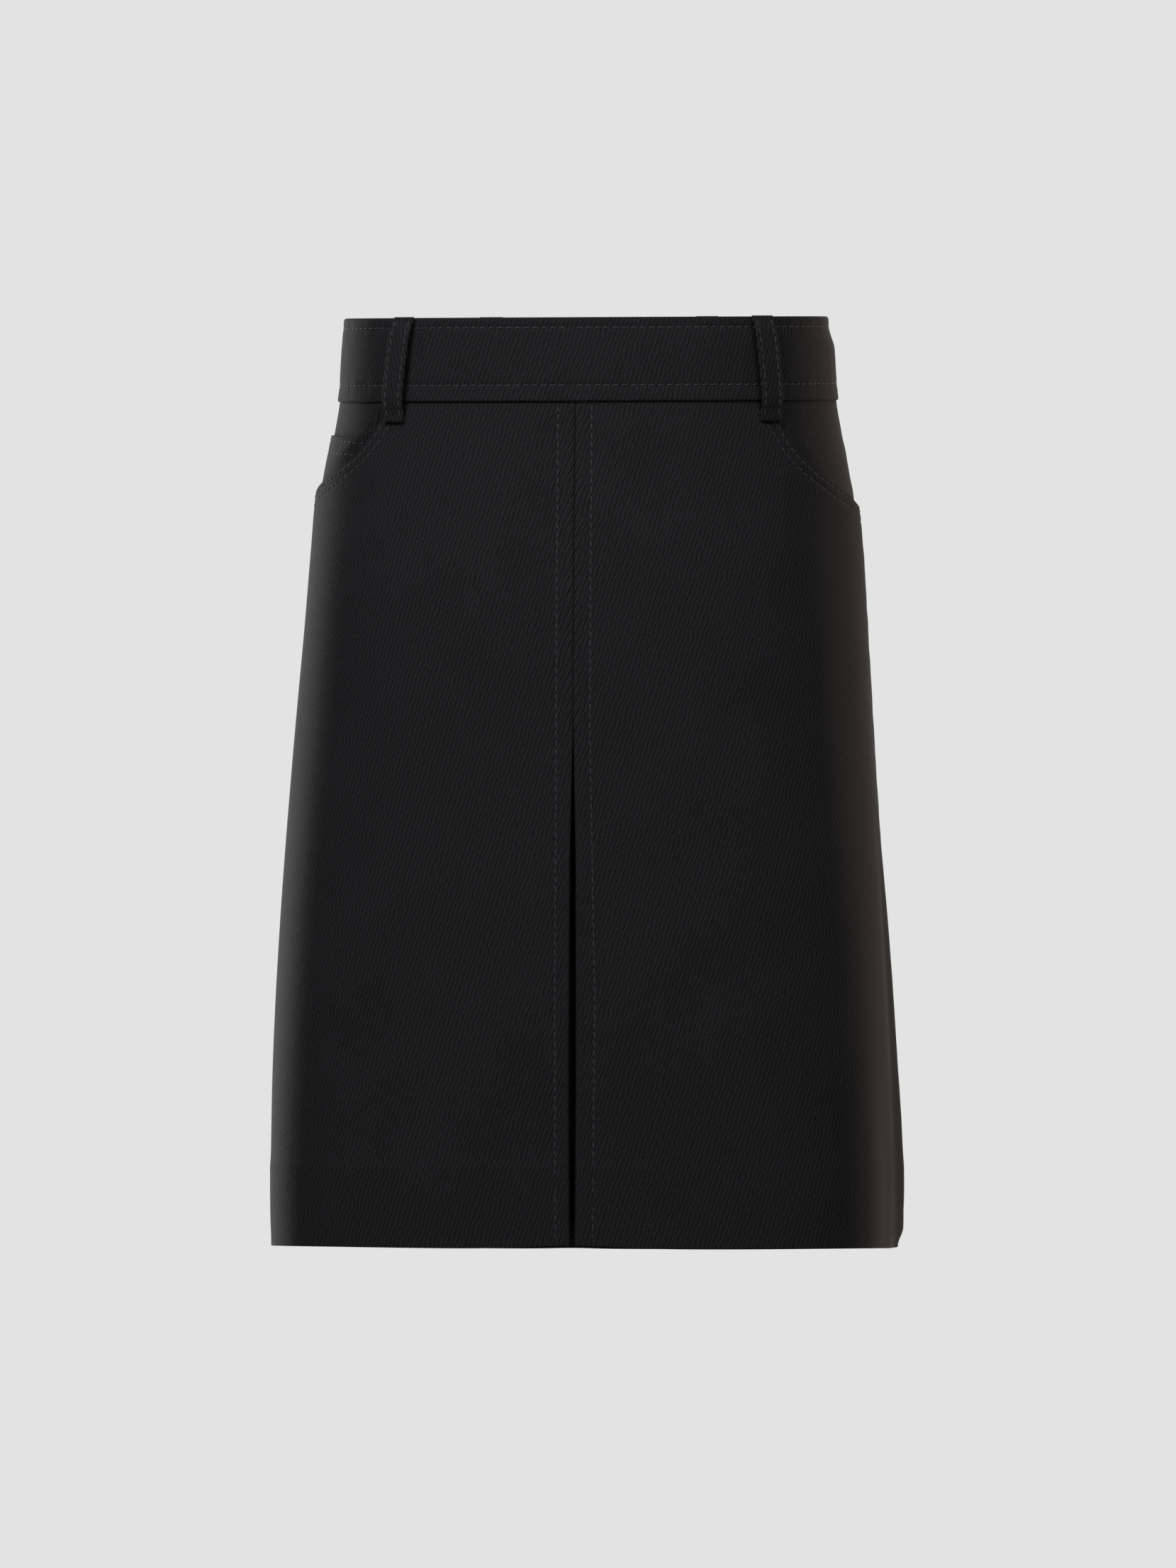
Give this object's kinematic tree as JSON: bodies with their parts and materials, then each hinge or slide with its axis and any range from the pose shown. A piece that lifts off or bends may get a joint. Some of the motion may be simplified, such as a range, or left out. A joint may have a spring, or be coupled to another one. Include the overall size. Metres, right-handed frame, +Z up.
{
  "type": "box pleated skirt",
  "caption": "Short A-line skirt of black wool twill, worn shape: straight waistband with belt loops, curved front pockets, inverted box pleat, centre back zip.",
  "frame": {"origin": "centre of the waist opening, level with the waistband's mid height at the side", "axes": "+Z up the skirt, front faces -Y, +X is the wearer's left"},
  "size_m": [0.3533, 0.2404, 0.5244],
  "materials": {
    "wool": "matte steep twill with a short soft nap",
    "pocketing": "plain woven cotton",
    "tape": "narrow woven polyester",
    "zip_metal": "black lacquer, satin"
  },
  "bodies": {
    "skirt": {"front_left": "wool", "front_right": "wool", "back_left": "wool", "back_right": "wool", "pleat_underlay": "wool", "waistband": "wool", "pocket_facing_left": "wool", "pocket_facing_right": "wool", "coin_pocket": "wool", "belt_loop_front_left": "wool", "belt_loop_front_right": "wool", "belt_loop_back_left": "wool", "belt_loop_back_right": "wool", "pocket_bag_left": "pocketing", "pocket_bag_right": "pocketing", "zip_tape_left": "tape", "zip_tape_right": "tape", "zip_slider": "zip_metal"},
    "zip_tab": {"zip_tab": "zip_metal"}
  },
  "joints": [
    {"name": "zip_tab_swing", "type": "hinge", "parent": "skirt", "child": "zip_tab", "pos_m": [0, 0.09864, 0.01885], "axis": [1, 0, 0], "range_deg": [0, 170]}
  ]
}
